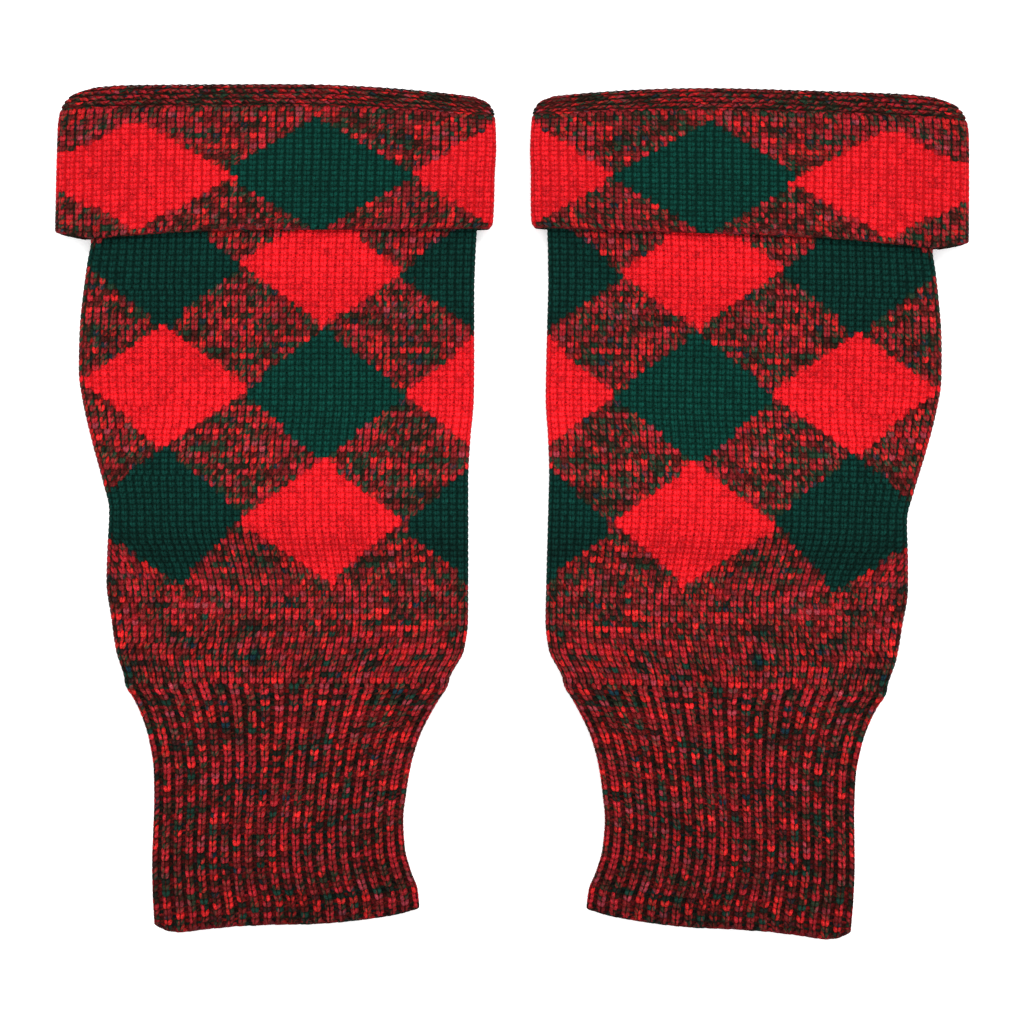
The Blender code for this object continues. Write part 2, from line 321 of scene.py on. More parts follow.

# Yarn's material: the twist of its plies, its fibres, its wisps, and the painted shade that deepens its
# colour between crests
TWIST = 4.2
TWIST_ACROSS = 1.9
TWIST_SHARE = 0.36
PLY_SHARPNESS = 0.9
FIBRES_ACROSS = 2.6
FIBRES_ALONG = 1.1
FIBRE_SCALE = 2.2
FIBRE_DETAIL = 3.0
FIBRE_LIGHT = 0.5
FIBRE_HEIGHT = 0.5
WISP_ACROSS = 0.8
WISP_SCALE = 1.7
WISP_DETAIL = 1.0
WISP_SHADE = 2.3
PAINTED_SHADE_GAMMA = 1.3
PAINTED_SHADE_SHARE = 0.9
BUMP_DEPTH = 0.2
WOOL_ROUGHNESS = 0.9
WOOL_SPECULAR = 0.05
FUZZ_ROUGHNESS = 0.5

# The floor, which glows a little so that it looks white, the light and the camera, in metres and degrees.
# The lens and its sensor are in millimetres
FLOOR_COLOUR = (0.97, 0.97, 0.97)
FLOOR_ROUGHNESS = 0.9
FLOOR_GLOW = 0.35
FLOOR_HALF = 3.0
FLOOR_LEVEL = -0.02 * MM
SKY_COLOUR = (1.0, 1.0, 1.0, 1.0)
SKY_STRENGTH = 1.2
SUN_STRENGTH = 1.4
SUN_WIDTH = 24
SUN_TURN = (-36, 10)
FIELD = 0.44216
LENS = 120.0
SENSOR = 36.0
CLOTH_LEVEL = 6.0 * MM
CAMERA_PLACE = (-0.00005, -0.0002)
CAMERA_REACH = 20


def smooth(places, values, at):
    """A curve through (places, values) that never overshoots them, read at many places."""
    places = np.asarray(places, float)
    values = np.asarray(values, float)
    steps = np.diff(places)
    rises = np.diff(values) / steps
    total = rises[:-1] + rises[1:]
    alike = rises[:-1] * rises[1:] > 0
    slopes = np.zeros(len(values))
    slopes[1:-1] = np.where(alike, 2 * rises[:-1] * rises[1:] / np.where(alike, total, 1), 0)
    i = np.clip(np.searchsorted(places, at, side="right") - 1, 0, len(steps) - 1)
    t = np.clip((at - places[i]) / steps[i], 0, 1)
    ends = (1 + 2 * t) * (1 - t) ** 2 * values[i] + t * t * (3 - 2 * t) * values[i + 1]
    turns = t * (1 - t) ** 2 * slopes[i] - t * t * (1 - t) * slopes[i + 1]
    return ends + turns * steps[i]


def sections_at(sections, down):
    """The sections at many distances down, each column an array."""
    places = [section.down for section in sections]
    return Section(*(smooth(places, column, down) for column in zip(*sections)))._replace(down=down)


def half_round(section):
    """The length of half of the tube's outside, from the inner side's edge to the outer one's."""
    return section.outer - section.inner + (math.pi / 2 - 1) * section.height


def row_drop(section, across):
    """How far below its section a row lies, at a share of the width from the outer edge."""
    side = 1 - 2 * across
    drop = np.where(side > 0, section.outer_drop, section.inner_drop) * side * side
    outer_corner = np.maximum(0, 1 - across / CORNER_SHARE)
    inner_corner = np.maximum(0, 1 - (1 - across) / CORNER_SHARE)
    return drop - section.outer_lift * outer_corner**2 - section.inner_lift * inner_corner**2


def crease_depth(down, out):
    """How deep the creases are at a place."""
    depth = 0
    for crease in CREASES:
        turn = math.radians(crease.slope)
        along = (crease.out - out) * math.cos(turn) + (down - crease.down) * math.sin(turn)
        aside = (down - crease.down) * math.cos(turn) - (crease.out - out) * math.sin(turn)
        reach = (2 * along / crease.length) ** 2 + (2 * aside / crease.width) ** 2
        depth = depth + crease.depth * np.exp(-CREASE_FADE * reach)
    return depth


def tube_place(section, around, raised, creased=False):
    """(out, down, height) of places on a tube that lies flat, from the share around it and the height."""
    radius = section.height / 2
    flat = section.outer - section.inner - section.height
    quarter = math.pi / 2 * radius
    half = flat + 2 * quarter
    run = np.abs(around) * half
    inner_turn = np.clip(run / radius, 0, math.pi / 2)
    outer_turn = np.clip((half - run) / radius, 0, math.pi / 2)
    reach = radius + raised
    level = np.clip(run - quarter, 0, flat)
    out = section.inner + radius + level - reach * np.cos(inner_turn) + reach * np.cos(outer_turn)
    rise = reach * np.sin(inner_turn) * np.sin(outer_turn)
    across = np.clip((section.outer - out) / (section.outer - section.inner), 0, 1)
    down = section.down + row_drop(section, across)
    front = around > 0
    crown = FRONT_CROWN * np.sin(math.pi * level / flat)
    sunk = crease_depth(down, out) * np.sin(inner_turn) * np.sin(outer_turn) if creased else 0
    height = section.floor + radius + np.where(front, rise + crown - sunk, -rise)
    return out, down, height


def cuff_place(around, along, raised):
    """Places on the cuff. Along is 0 on the crest of its top fold, more outside and less inside."""
    turn = np.clip(math.pi / 2 - along / FOLD_RADIUS, 0, math.pi)
    straight = np.maximum(np.abs(along) - FOLD_RADIUS * math.pi / 2, 0)
    down = FOLD_RADIUS - (FOLD_RADIUS + raised) * np.sin(turn) + straight
    depth = FOLD_RADIUS - (FOLD_RADIUS + raised) * np.cos(turn)
    return tube_place(sections_at(CUFF_SECTIONS, down), around, -depth)


def leg_place(around, along, raised):
    return tube_place(sections_at(LEG_SECTIONS, along), around, raised, creased=True)


def rib_rise(around, along):
    """How far the ribs lift the ankle's outside. The back rests on its ribs, which stay flatter."""
    share = np.abs(around)
    rib = np.abs(np.sin(math.pi * share * RIB_COUNT)) ** RIB_SHARPNESS
    begun = np.clip((along - RIBBING_DOWN) / RIB_BEGIN, 0, 1)
    from_fold = np.minimum(share, 1 - share) * np.sign(around)
    behind = np.clip(0.5 - from_fold * RIB_COUNT / 2, 0, 1)
    front_rise = RIB_HEIGHT * rib - RIB_VALLEY * (1 - rib)
    return begun * ((1 - behind) * front_rise - behind * BACK_RIB * (1 - rib))


def ribbing_place(around, along, raised):
    section = sections_at(RIBBING_SECTIONS, along)
    return tube_place(section, around, raised + rib_rise(around, along))


def pair_middle():
    """Where the pair's middle line and top fold lie in the frame, from the left cuff's box."""
    low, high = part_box("left_cuff")
    widest = max(section.outer for section in CUFF_SECTIONS)
    return -widest - low.x / MM, -high.y / MM


MIDDLE = pair_middle()


def world(side, out, down, height):
    """Points in metres of one hose top. The right one is the left one's mirror image, turned a little."""
    if side == "left":
        x, y = -out, -down
    else:
        aside, up = out - RIGHT_PIVOT_OUT, RIGHT_PIVOT_DOWN - down
        x = aside * math.cos(RIGHT_TURN) - up * math.sin(RIGHT_TURN) + RIGHT_PIVOT_OUT
        y = aside * math.sin(RIGHT_TURN) + up * math.cos(RIGHT_TURN) - RIGHT_PIVOT_DOWN
    return np.stack((x - MIDDLE[0], y - MIDDLE[1], height), -1) * MM


# Half of the way round each stretch, at a distance along
def cuff_half(along):
    return half_round(sections_at(CUFF_SECTIONS, np.maximum(along - FOLD_LEAD, 0.0)))


def leg_half(along):
    return half_round(sections_at(LEG_SECTIONS, along))


def ribbing_half(along):
    return half_round(sections_at(RIBBING_SECTIONS, along))


# Wales are counted from the inner side's edge. A place around is found from the wale and the distance along
def cuff_around(wale, along, spread):
    return wale / CUFF_WALES


def leg_wale(along):
    return smooth(*zip(*LEG_WALE), along)


def leg_around(wale, along, spread):
    return (wale * leg_wale(along) + spread) / leg_half(along)


def ribbing_around(wale, along, spread):
    return wale / RIB_COUNT


# A stretch of the hose: its places, its wales, half of its way round, and its painted light and shade along
# its length
Stretch = collections.namedtuple("Stretch", "place around half tone")
CUFF = Stretch(cuff_place, cuff_around, cuff_half, CUFF_PAINTED_LIGHT)
LEG = Stretch(leg_place, leg_around, leg_half, LEG_PAINTED_LIGHT)
RIBBING = Stretch(ribbing_place, ribbing_around, ribbing_half, LEG_PAINTED_LIGHT)


def tone(stretch, around, along):
    """Painted light and shade at a place: along the stretch, and on its two folded sides."""
    share = np.abs(around)
    from_side = np.minimum(share, 1 - share) * stretch.half(along) / SIDE_SHADE_WIDTH
    return smooth(*zip(*stretch.tone), along) * (1 - (1 - SIDE_PAINTED_SHADE) * np.exp(-from_side * from_side))


# A stitch: its wale and distance along, how far it is moved to the outer side, the width of a wale, and its
# own size
Stitches = collections.namedtuple("Stitches", "wale along spread pitch width row")


def joined(parts):
    """Several named tuples of arrays as one."""
    return type(parts[0])(*(np.concatenate(column) for column in zip(*parts)))


def stitch_rows(rows):
    """Stitches from (wales, along, spread, pitch, width, row height) of each row."""
    return joined([Stitches(*(np.broadcast_to(value, row[0].shape) for value in row)) for row in rows])


def cuff_rows(start, end):
    """Rows of the cuff between two distances along, counted from its hem."""
    rows = []
    along = CUFF_HEM + FOLD_LEAD - CUFF_ROW / 2
    while along > end:
        if along < start:
            pitch = float(cuff_half(along)) / CUFF_WALES
            rows.append((np.arange(CUFF_WALES) + 0.5, along, 0.0, pitch, pitch, CUFF_ROW))
        along -= CUFF_ROW
    return stitch_rows(rows)


def leg_rows():
    """Wales of one width from the inner side on. Where the calf narrows, they run out at the outer side."""
    rows = []
    for row in range(int((RIBBING_DOWN - LEG_TOP) / LEG_ROW)):
        along = RIBBING_DOWN - (LEG_LAST_ROW + row) * LEG_ROW
        half = float(leg_half(along))
        width = float(leg_wale(along))
        wales = int(half / width)
        wale = np.arange(wales) + 0.5
        spread = (half - wales * width) * (wale / wales) ** SEAM_SPREAD
        rows.append((wale, along, spread, width, width, LEG_ROW))
    return stitch_rows(rows)


def ribbing_rows(first, share):
    """A column of stitches on each rib, or in each valley, as wide as a share of the rib."""
    rows = []
    for row in range(int((RIBBING_HEM - RIBBING_DOWN) / RIBBING_ROW)):
        along = RIBBING_DOWN + (row + 0.5) * RIBBING_ROW
        pitch = float(ribbing_half(along)) / RIB_COUNT
        rows.append((np.arange(first, RIB_COUNT, 1.0), along, 0.0, pitch, pitch * share, RIBBING_ROW))
    return stitch_rows(rows)


def rim_stitches(stretch, wales, each, along, row):
    """Stitches along a hem, each of them as wide as a share of a wale."""
    pitch = float(stretch.half(along)) / wales
    return stitch_rows([(np.arange(each / 2, wales, each), along, 0.0, pitch, pitch * each, row)])


def in_diamond(diamond, wale, down, blunt):
    """Which places are in a diamond. A blunt one stays open towards the outer side."""
    outwards = wale - diamond.wale
    across = np.abs(outwards) / diamond.half_wales
    if blunt:
        across = np.where(outwards > 0, np.minimum(across, BLUNT_TIP), across)
    upright = np.abs(down - diamond.down - diamond.lean * outwards) / diamond.half_down
    return (across + upright < DIAMOND_BULGE) & (np.maximum(across, upright) < 1)


def pick(rng, colours, shares, count):
    """A colour for each stitch, in the colours' shares."""
    return np.array(colours)[rng.choice(len(colours), count, p=shares)]


def patches(rng, wale, row, wales_each, rows_each):
    """Uneven patches some stitches across and some rows down, from -1 to 1."""
    grid = rng.uniform(-1, 1, PATCH_GRID)
    x, y = wale / wales_each + PATCH_START, row / rows_each + PATCH_START
    i, j = np.floor(x).astype(int), np.floor(y).astype(int)
    u, v = x - i, y - j
    upper = grid[i, j] * (1 - u) + grid[i + 1, j] * u
    lower = grid[i, j + 1] * (1 - u) + grid[i + 1, j + 1] * u
    return PATCH_STRENGTH * (upper * (1 - v) + lower * v)


# The dye of each stitch: its two plies' colours, which of them shows more, and how light it is
Dye = collections.namedtuple("Dye", "first second balance shade")


def dye(rng, wale, row, down, pattern, blunt_last=False):
    """The dye of many stitches: marl, and plain yarn in the pattern's diamonds."""
    count = len(wale)
    first = pick(rng, MARL_REDS, MARL_RED_SHARES, count) * rng.uniform(*RED_UNEVEN, (count, 1))
    second = pick(rng, MARL_DARKS, MARL_DARK_SHARES, count) * rng.uniform(*DARK_UNEVEN, (count, 1))
    blotch = patches(rng, wale, row, BLOTCH_WALES, BLOTCH_ROWS)
    patch = patches(rng, wale, row, PATCH_WALES, PATCH_ROWS)
    clump = patch < CLUMP_BELOW
    balance = PATCH_SHARE * patch + STITCH_SHARE * rng.normal(0, 1, count) - CLUMP_DARKER * clump
    lower = down > PATTERN_END
    second = np.where((lower & ~clump)[:, None], second * LOWER_TINT, second)
    second = np.where((lower & clump)[:, None], second * CLUMP_TINT, second)
    balance = balance + BLOTCH_BALANCE * blotch + LOWER_LIGHTER * lower
    shade = 1 - BLOTCH_SHADE * blotch + STITCH_SHADE * rng.normal(0, 1, count)
    for number, diamond in enumerate(pattern):
        blunt = blunt_last and number == len(pattern) - 1
        inside = in_diamond(diamond, wale, down, blunt)[:, None]
        first = np.where(inside, diamond.colour, first)
        second = np.where(inside, diamond.colour, second)
    return Dye(first, second, balance, shade)


# A leg of yarn: its points' share of the length, place across, height and painted light, and its faces
Petal = collections.namedtuple("Petal", "t x z lit faces")


def petal(rings, across):
    """A pointed arch of yarn. A ring is (share of the length, of the width and of the height, painted light).
    """
    t, x, z, lit, faces = [0.0], [0.0], [TIP_HEIGHT], [TIP_PAINTED_LIT], []
    for place, wide, tall, light in rings:
        for side, lift, glow in across:
            t.append(place)
            x.append(side * wide)
            z.append(lift * tall)
            lit.append(glow * light)
    t.append(1.0)
    x.append(0.0)
    z.append(0.0)
    lit.append(0.0)
    width = len(across)
    last = len(t) - 1
    for i in range(width - 1):
        faces.append((0, 2 + i, 1 + i))
        faces.append((last, last - width + i, last - width + i + 1))
        for ring in range(len(rings) - 1):
            a = 1 + ring * width + i
            faces.append((a, a + 1, a + width + 1, a + width))
    return Petal(np.array(t), np.array(x), np.array(z), np.array(lit), faces)


# Painted light on the legs: full on the crest, with painted shade at the ends and the edges, where the yarn
# dips under its neighbours
FINE_PETAL = petal(
    rings=((0.13, 0.84, 0.84, 0.5), (0.48, 1.0, 1.0, 1.0), (0.72, 0.88, 0.75, 0.0)),
    across=((-1.0, 0.0, 0.4), (-0.6, 0.84, 1.0), (0.6, 0.84, 1.0), (1.0, 0.0, 0.4)),
)
PLAIN_PETAL = petal(
    rings=((0.2, 0.95, 0.92, 1.0), (0.68, 0.9, 0.85, 0.2)),
    across=((-1.0, 0.0, 0.5), (0.0, 0.9, 1.0), (1.0, 0.0, 0.5)),
)

# Petals on their stitches: offsets in millimetres from the stitch's middle, which way is outwards, and the
# number of the stitch
Petals = collections.namedtuple("Petals", "start length across crest bow outward stitch")


def arch_petals(rng, stitches, start, end, half_width, crest, bow=(0.0, 0.0), outward=0,
                uneven=PLACE_UNEVEN):
    """One petal on each stitch, from start to end in shares of its width and row, (0, 0) being its middle."""
    count = len(stitches.wale)
    size = np.stack((stitches.width, stitches.row), -1)
    wander = rng.normal(0, uneven, (4, count))
    flat_start = (np.array(start) + wander[:2].T) * size
    flat_end = (np.array(end) + wander[2:].T) * size
    flat = flat_end - flat_start
    aside = np.stack((-flat[:, 1], flat[:, 0]), -1)
    aside *= (half_width * rng.uniform(*WIDTH_UNEVEN, count) / np.linalg.norm(aside, axis=1))[:, None]
    level = np.zeros((count, 1))
    tall = (crest - YARN_FOOT) * rng.uniform(*CREST_UNEVEN, count)
    return Petals(
        np.concatenate((flat_start, level + YARN_FOOT), -1),
        np.concatenate((flat, level), -1),
        np.concatenate((aside, level), -1),
        np.column_stack((level, level, tall)),
        np.concatenate((np.array(bow) * size, level), -1),
        np.full(count, float(outward)),
        np.arange(count),
    )


def knit_petals(rng, stitches, foot, head, share):
    """The two legs of each knit stitch: together at its foot, which is below, and apart at its head."""
    width = share * stitches.width
    return joined([
        arch_petals(rng, stitches, (side * foot, YARN_START), (side * head, YARN_END), width, YARN_CREST,
                    bow=(side * YARN_BOW, 0.0), outward=side)
        for side in (-1, 1)
    ])


def v_petals(rng, stitches):
    return knit_petals(rng, stitches, foot=0.09, head=0.26, share=0.225)


def rib_petals(rng, stitches):
    """The ribs are pulled in, so that their stitches are narrow and open in the middle."""
    return knit_petals(rng, stitches, foot=0.12, head=0.29, share=0.19)


def purl_petals(rng, stitches):
    """The back of a knit stitch: an arch above, and a bowl between it and the next one."""
    width = 0.25 * stitches.row
    return joined([
        arch_petals(rng, stitches, (-0.5, 0.02), (0.5, -0.1), width, crest=0.0,
                    bow=(0.0, -0.34), uneven=PURL_UNEVEN),
        arch_petals(rng, stitches, (0.0, 0.3), (1.0, 0.2), width, crest=-0.15,
                    bow=(0.0, 0.26), uneven=PURL_UNEVEN),
    ])


def bar_petals(rng, stitches):
    """The bump of each purl stitch in a valley: one short bar across it."""
    width = 0.36 * stitches.row
    return arch_petals(rng, stitches, (-0.5, 0.0), (0.5, 0.0), width, crest=-0.35, bow=(0.0, -0.12))


def rim_petals(rng, stitches):
    """The cast-off edge: a flat chain of slanting legs, with the rim's own turn of yarn below it."""
    width = 0.26 * stitches.row
    return joined([
        arch_petals(rng, stitches, (-0.6, -0.1), (0.6, 0.1), width, crest=0.0),
        arch_petals(rng, stitches, (-0.95, 0.3), (0.95, 0.25), width, crest=-0.1),
    ])


def mesh_object(name, points, faces, material):
    """A mesh from arrays of points and of faces with three or four corners."""
    mesh = bpy.data.meshes.new(name)
    mesh.from_pydata(points, [], faces)
    mesh.shade_smooth()
    mesh.materials.append(material)
    item = bpy.data.objects.new(name, mesh)
    bpy.context.collection.objects.link(item)
    return item


def set_colours(mesh, name, colours):
    """A colour for each point. Its fourth number is a value for the material."""
    attribute = mesh.attributes.new(name, "FLOAT_COLOR", "POINT")
    attribute.data.foreach_set("color", np.ascontiguousarray(colours, np.float32).ravel())


def set_map(mesh, name, places):
    """A map with a place for each point."""
    layer = mesh.uv_layers.new(name=name)
    corners = np.zeros(len(mesh.loops), np.int32)
    mesh.loops.foreach_get("vertex_index", corners)
    layer.data.foreach_set("uv", np.ascontiguousarray(places[corners], np.float32).ravel())


def yarn_object(name, side, stretch, stitches, petals, form, facing, dyed, rng):
    """All the petals on one face of a stretch, as one mesh."""
    t, x = form.t, form.x
    bend = 4 * t * (1 - t)
    offset = (
        petals.start[:, None]
        + petals.length[:, None] * t[:, None]
        + petals.across[:, None] * x[:, None]
        + petals.crest[:, None] * form.z[:, None]
        + petals.bow[:, None] * bend[:, None]
    )
    at = petals.stitch
    along = stitches.along[at][:, None] + offset[..., 1]
    wale = stitches.wale[at][:, None] + offset[..., 0] / stitches.pitch[at][:, None]
    around = stretch.around(wale, along, stitches.spread[at][:, None])
    ridge = WALE_RIDGE * (1 - np.cos(2 * math.pi * offset[..., 0] / stitches.width[at][:, None])) / 2
    points = world(side, *stretch.place(facing * around, along, offset[..., 2] - ridge))
    count = len(at)
    size = len(t)
    flip = (facing > 0) == (side == "left")
    faces = []
    for face in form.faces:
        face = face[::-1] if flip else face
        faces.extend((np.arange(count)[:, None] * size + np.array(face)).tolist())
    item = mesh_object(name, points.reshape(-1, 3), faces, YARN)
    balance = dyed.balance[at] + LEG_SHARE * rng.normal(0, 1, count)
    shade = dyed.shade[at] + LEG_SHADE * rng.normal(0, 1, count)
    # Random shade of each leg, times the painted light and shade along the stretch and on its sides
    light = (shade[:, None] * tone(stretch, around, along)).reshape(-1, 1)
    # Painted shade on each leg's outer edge
    edge = np.clip(x * petals.outward[:, None], 0, 1)
    lit = form.lit * (1 - EDGE_PAINTED_SHADE * edge)
    first = np.clip(np.repeat(dyed.first[at], size, 0) * light, 0, 1)
    second = np.clip(np.repeat(dyed.second[at], size, 0) * light, 0, 1)
    set_colours(item.data, "first_ply", np.column_stack((first, np.repeat(balance, size))))
    set_colours(item.data, "second_ply", np.column_stack((second, lit.ravel())))
    lengths = np.linalg.norm(petals.length, axis=1)
    begin = rng.uniform(0, YARN_LENGTH, count)
    yarn = np.stack((np.tile(x, (count, 1)), begin[:, None] + lengths[:, None] * t), -1)
    set_map(item.data, "Yarn", yarn.reshape(-1, 2))
    cells = math.ceil(math.sqrt(count))
    cell = np.stack((np.arange(count) % cells, np.arange(count) // cells), -1)
    within = np.stack((0.5 + CELL_HALF_WIDTH * x, CELL_FOOT + CELL_LENGTH * t), -1)
    baked = (cell[:, None] + within) / cells
    set_map(item.data, "OFBake", baked.reshape(-1, 2))
    return item


def shell_object(name, side, stretch, outer_rows, inner_rows, count, dyed_of):
    """A closed wall: rings along its outside, from below up, at the ground's height, and back inside it."""
    path = [(along, GROUND) for along in outer_rows] + [(along, -WALL) for along in inner_rows]
    columns = -1 + 2 * (np.arange(count) + 0.5) / count
    around = np.tile(columns, (len(path), 1))
    along = np.array([step[0] for step in path])[:, None] + np.zeros_like(around)
    raised = np.array([step[1] for step in path])[:, None] + np.zeros_like(around)
    points = world(side, *stretch.place(around, along, raised)).reshape(-1, 3)
    faces = []
    for ring in range(len(path)):
        after = (ring + 1) % len(path)
        for i in range(count):
            j = (i + 1) % count
            face = (ring * count + j, ring * count + i, after * count + i, after * count + j)
            faces.append(face if side == "left" else face[::-1])
    item = mesh_object(name, points, faces, GROUND_CLOTH)
    mesh = item.data
    dyed = dyed_of(around.ravel(), along.ravel())
    # Painted light and shade along the stretch and on its sides
    light = tone(stretch, around, along).reshape(-1, 1)
    set_colours(mesh, "first_ply", np.column_stack((dyed.first * light, dyed.balance)))
    set_colours(mesh, "second_ply", np.column_stack((dyed.second * light, np.full(len(points), GROUND_PAINTED_LIT))))
    yarn = mesh.uv_layers.new(name="Yarn")
    baked = mesh.uv_layers.new(name="OFBake")

    # Both maps are cut open at the first column and the first ring, so the last faces end on the far edge
    corners = np.zeros(len(mesh.loops), np.int32)
    mesh.loops.foreach_get("vertex_index", corners)
    ring, column = np.divmod(corners, count)
    loops = np.arange(len(corners)) // 4
    ring = ring + len(path) * ((loops // count == len(path) - 1) & (ring == 0))
    column = column + count * ((loops % count == count - 1) & (column == 0))
    spot = np.stack((column / count, ring / len(path)), -1)
    baked.data.foreach_set("uv", np.ascontiguousarray(spot * BAKED_SHARE + BAKED_EDGE, np.float32).ravel())
    yarn.data.foreach_set("uv", np.ascontiguousarray(spot * GROUND_MAP, np.float32).ravel())
    return item


def knit_material(name, shade, bump, fuzz):
    """Wool yarn: two plies twisted together, with fibres along them. Between its crests it has painted shade.
    """
    material = bpy.data.materials.new(name)
    material.use_nodes = True
    tree = material.node_tree
    nodes, links = tree.nodes, tree.links
    shader = nodes["Principled BSDF"]

    def node(kind, **values):
        made = nodes.new(kind)
        for key, value in values.items():
            setattr(made, key, value)
        return made

    def maths(operation, first, second=None, third=None, clamp=False):
        made = node("ShaderNodeMath", operation=operation, use_clamp=clamp)
        for socket, value in zip(made.inputs, (first, second, third)):
            if isinstance(value, bpy.types.NodeSocket):
                links.new(value, socket)
            elif value is not None:
                socket.default_value = value
        return made.outputs[0]

    def mix(factor, first, second, blend="MIX"):
        made = node("ShaderNodeMix", data_type="RGBA", blend_type=blend)
        for identifier, value in (("Factor_Float", factor), ("A_Color", first), ("B_Color", second)):
            socket = next(s for s in made.inputs if s.identifier == identifier)
            if isinstance(value, bpy.types.NodeSocket):
                links.new(value, socket)
            else:
                socket.default_value = value
        return next(s for s in made.outputs if s.identifier == "Result_Color")

    first = node("ShaderNodeAttribute", attribute_name="first_ply")
    second = node("ShaderNodeAttribute", attribute_name="second_ply")
    place = node("ShaderNodeUVMap", uv_map="Yarn")
    split = node("ShaderNodeSeparateXYZ")
    links.new(place.outputs["UV"], split.inputs[0])
    across, along = split.outputs[0], split.outputs[1]

    # The plies' twist
    turns = maths("MULTIPLY_ADD", along, 2 * math.pi / TWIST, maths("MULTIPLY", across, TWIST_ACROSS))
    wave = maths("MULTIPLY", maths("SINE", turns), TWIST_SHARE)
    shown = maths("MULTIPLY_ADD", maths("ADD", wave, first.outputs["Alpha"]), -PLY_SHARPNESS, 0.5, clamp=True)
    plies = mix(shown, first.outputs["Color"], second.outputs["Color"])

    # Fibres: fine streaks along the yarn
    stretched = node("ShaderNodeCombineXYZ")
    links.new(maths("MULTIPLY", across, FIBRES_ACROSS), stretched.inputs[0])
    links.new(maths("MULTIPLY", along, FIBRES_ALONG), stretched.inputs[1])
    fibres = node("ShaderNodeTexNoise")
    fibres.inputs["Scale"].default_value = FIBRE_SCALE
    fibres.inputs["Detail"].default_value = FIBRE_DETAIL
    links.new(stretched.outputs[0], fibres.inputs["Vector"])

    # Wisps: thicker and thinner places of the wool, a little under a millimetre apart
    loose = node("ShaderNodeCombineXYZ")
    links.new(maths("MULTIPLY", across, WISP_ACROSS), loose.inputs[0])
    links.new(along, loose.inputs[1])
    wisps = node("ShaderNodeTexNoise")
    wisps.inputs["Scale"].default_value = WISP_SCALE
    wisps.inputs["Detail"].default_value = WISP_DETAIL
    links.new(loose.outputs[0], wisps.inputs["Vector"])
    uneven = maths("MULTIPLY_ADD", wisps.outputs["Fac"], WISP_SHADE, shade - WISP_SHADE / 2)

    # Painted shade: between the crests of the yarn its colour is deeper and darker
    deep = node("ShaderNodeGamma")
    links.new(plies, deep.inputs["Color"])
    deep.inputs["Gamma"].default_value = PAINTED_SHADE_GAMMA
    darker = mix(1.0, deep.outputs["Color"], (PAINTED_SHADE_SHARE, PAINTED_SHADE_SHARE, PAINTED_SHADE_SHARE, 1.0), "MULTIPLY")
    streaks = maths("MULTIPLY_ADD", fibres.outputs["Fac"], FIBRE_LIGHT, 1 - FIBRE_LIGHT / 2)
    lit = maths("MULTIPLY", second.outputs["Alpha"], streaks, clamp=True)
    lighted = mix(lit, darker, plies)
    shaded = node("ShaderNodeVectorMath", operation="SCALE")
    links.new(lighted, shaded.inputs[0])
    links.new(uneven, shaded.inputs["Scale"])
    links.new(shaded.outputs[0], shader.inputs["Base Color"])

    # Relief: the twisted plies, and the fibres on them
    ridges = maths("ABSOLUTE", maths("SINE", maths("MULTIPLY", turns, 0.5)))
    height = maths("MULTIPLY_ADD", fibres.outputs["Fac"], FIBRE_HEIGHT, ridges)
    raised = node("ShaderNodeBump")
    raised.inputs["Strength"].default_value = bump
    raised.inputs["Distance"].default_value = BUMP_DEPTH * MM
    links.new(height, raised.inputs["Height"])
    links.new(raised.outputs["Normal"], shader.inputs["Normal"])

    shader.inputs["Roughness"].default_value = WOOL_ROUGHNESS
    shader.inputs["Specular IOR Level"].default_value = WOOL_SPECULAR
    shader.inputs["Sheen Weight"].default_value = fuzz
    shader.inputs["Sheen Roughness"].default_value = FUZZ_ROUGHNESS
    return material


def plain_material(name, colour, roughness, glow):
    """One even colour, which also glows a little."""
    material = bpy.data.materials.new(name)
    material.use_nodes = True
    shader = material.node_tree.nodes["Principled BSDF"]
    shader.inputs["Base Color"].default_value = (*colour, 1.0)
    shader.inputs["Roughness"].default_value = roughness
    shader.inputs["Emission Color"].default_value = (*colour, 1.0)
    shader.inputs["Emission Strength"].default_value = glow
    return material


YARN = knit_material("wool_yarn", shade=1.0, bump=0.4, fuzz=0.02)
# The ground cloth is darker throughout: painted shade for the spaces between the stitches, where it shows
GROUND_CLOTH = knit_material("wool_ground", shade=0.7, bump=0.3, fuzz=0.0)


# The dye of each stretch, at many wales and distances along
def dye_cuff(rng, wale, along):
    down = along - FOLD_LEAD
    return dye(rng, wale, down / CUFF_ROW + CUFF_FIRST_ROW, down, CUFF_DIAMONDS, blunt_last=True)


def dye_leg(rng, wale, along):
    return dye(rng, wale, along / LEG_ROW, along, LEG_DIAMONDS)


def dye_ribbing(rng, wale, along):
    return dye(rng, wale, along / RIBBING_ROW, along, ())


# The shells' dye, from the same pattern. In the marl its dark ply shows more behind the stitches, as painted
# shade in the spaces between them
def darkened(dyed):
    return dyed._replace(balance=dyed.balance - GROUND_PAINTED_SHADE)


def cuff_ground(around, along):
    rng = np.random.default_rng(CUFF_GROUND_SEED)
    return darkened(dye_cuff(rng, np.abs(around) * CUFF_WALES, along))


def leg_ground(around, along):
    rng = np.random.default_rng(LEG_GROUND_SEED)
    return darkened(dye_leg(rng, np.abs(around) * leg_half(along) / leg_wale(along), along))


def ribbing_ground(around, along):
    rng = np.random.default_rng(RIBBING_GROUND_SEED)
    return darkened(dye_ribbing(rng, np.abs(around) * RIB_COUNT, along))


# The stitches' dye
def cuff_dye(rng, stitches):
    return dye_cuff(rng, stitches.wale, stitches.along)


def leg_dye(rng, stitches):
    return dye_leg(rng, stitches.wale, stitches.along)


def ribbing_dye(rng, stitches):
    return dye_ribbing(rng, stitches.wale * RIB_PATCHES, stitches.along)


# A kind of stitch of a stretch, and how light it is: painted shade for the valleys and the rims
Kind = collections.namedtuple("Kind", "stitches petals_of shade")


